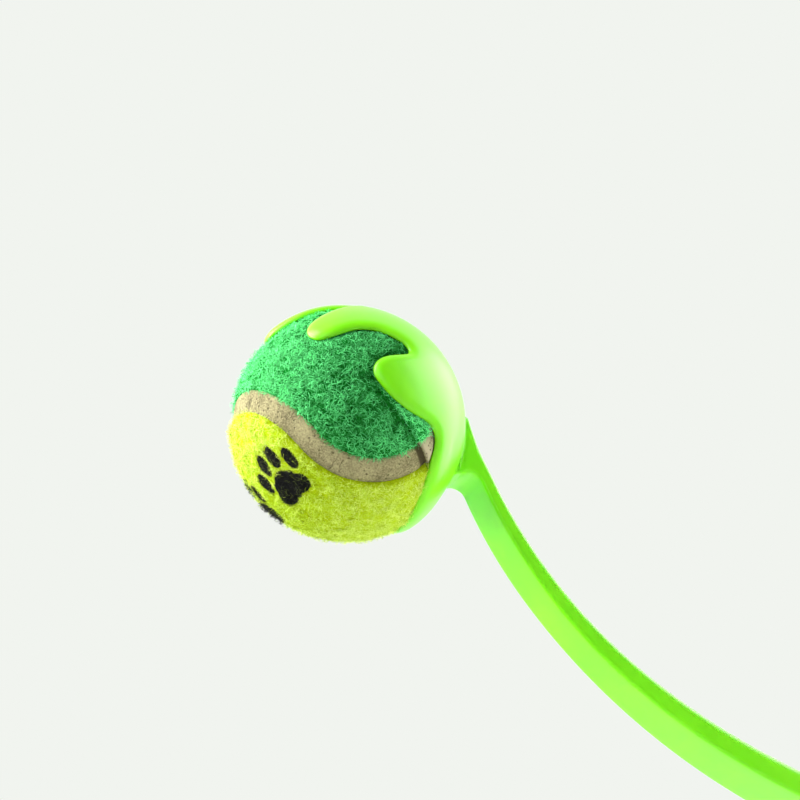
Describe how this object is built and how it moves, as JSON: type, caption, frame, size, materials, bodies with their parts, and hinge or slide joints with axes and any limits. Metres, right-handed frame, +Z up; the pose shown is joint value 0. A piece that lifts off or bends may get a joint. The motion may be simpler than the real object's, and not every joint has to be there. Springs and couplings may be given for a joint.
{
  "type": "dog ball launcher stick",
  "caption": "Curved springy hand stick with a fingered spherical cup that holds a felt-covered dog ball and lets it fly off when swung.",
  "frame": {"origin": "middle of the hand grip, on the handle's centre line", "axes": "+X back, opposite to the way the ball leaves the cup; +Z up towards the cup's top finger; Y across the stick, which is symmetric about y = 0"},
  "size_m": [0.2822, 0.0662, 0.3813],
  "materials": {
    "lime_plastic": "satin moulded polypropylene",
    "core_rubber": "matt moulded rubber",
    "green_felt": "long napped felt",
    "yellow_felt": "napped felt with black printed paw marks",
    "seam_tape": "matt pitted seam strip"
  },
  "bodies": {
    "launcher": {"cup": "lime_plastic", "arm": "lime_plastic", "handle": "lime_plastic"},
    "ball": {"ball_core_back": "core_rubber", "ball_core_front": "core_rubber", "felt_green": "green_felt", "felt_yellow": "yellow_felt", "seam_strip": "seam_tape"}
  },
  "joints": [
    {"name": "ball_release", "type": "slide", "parent": "launcher", "child": "ball", "axis": [-1, 0, 0], "range_m": [0, 0.09]}
  ]
}
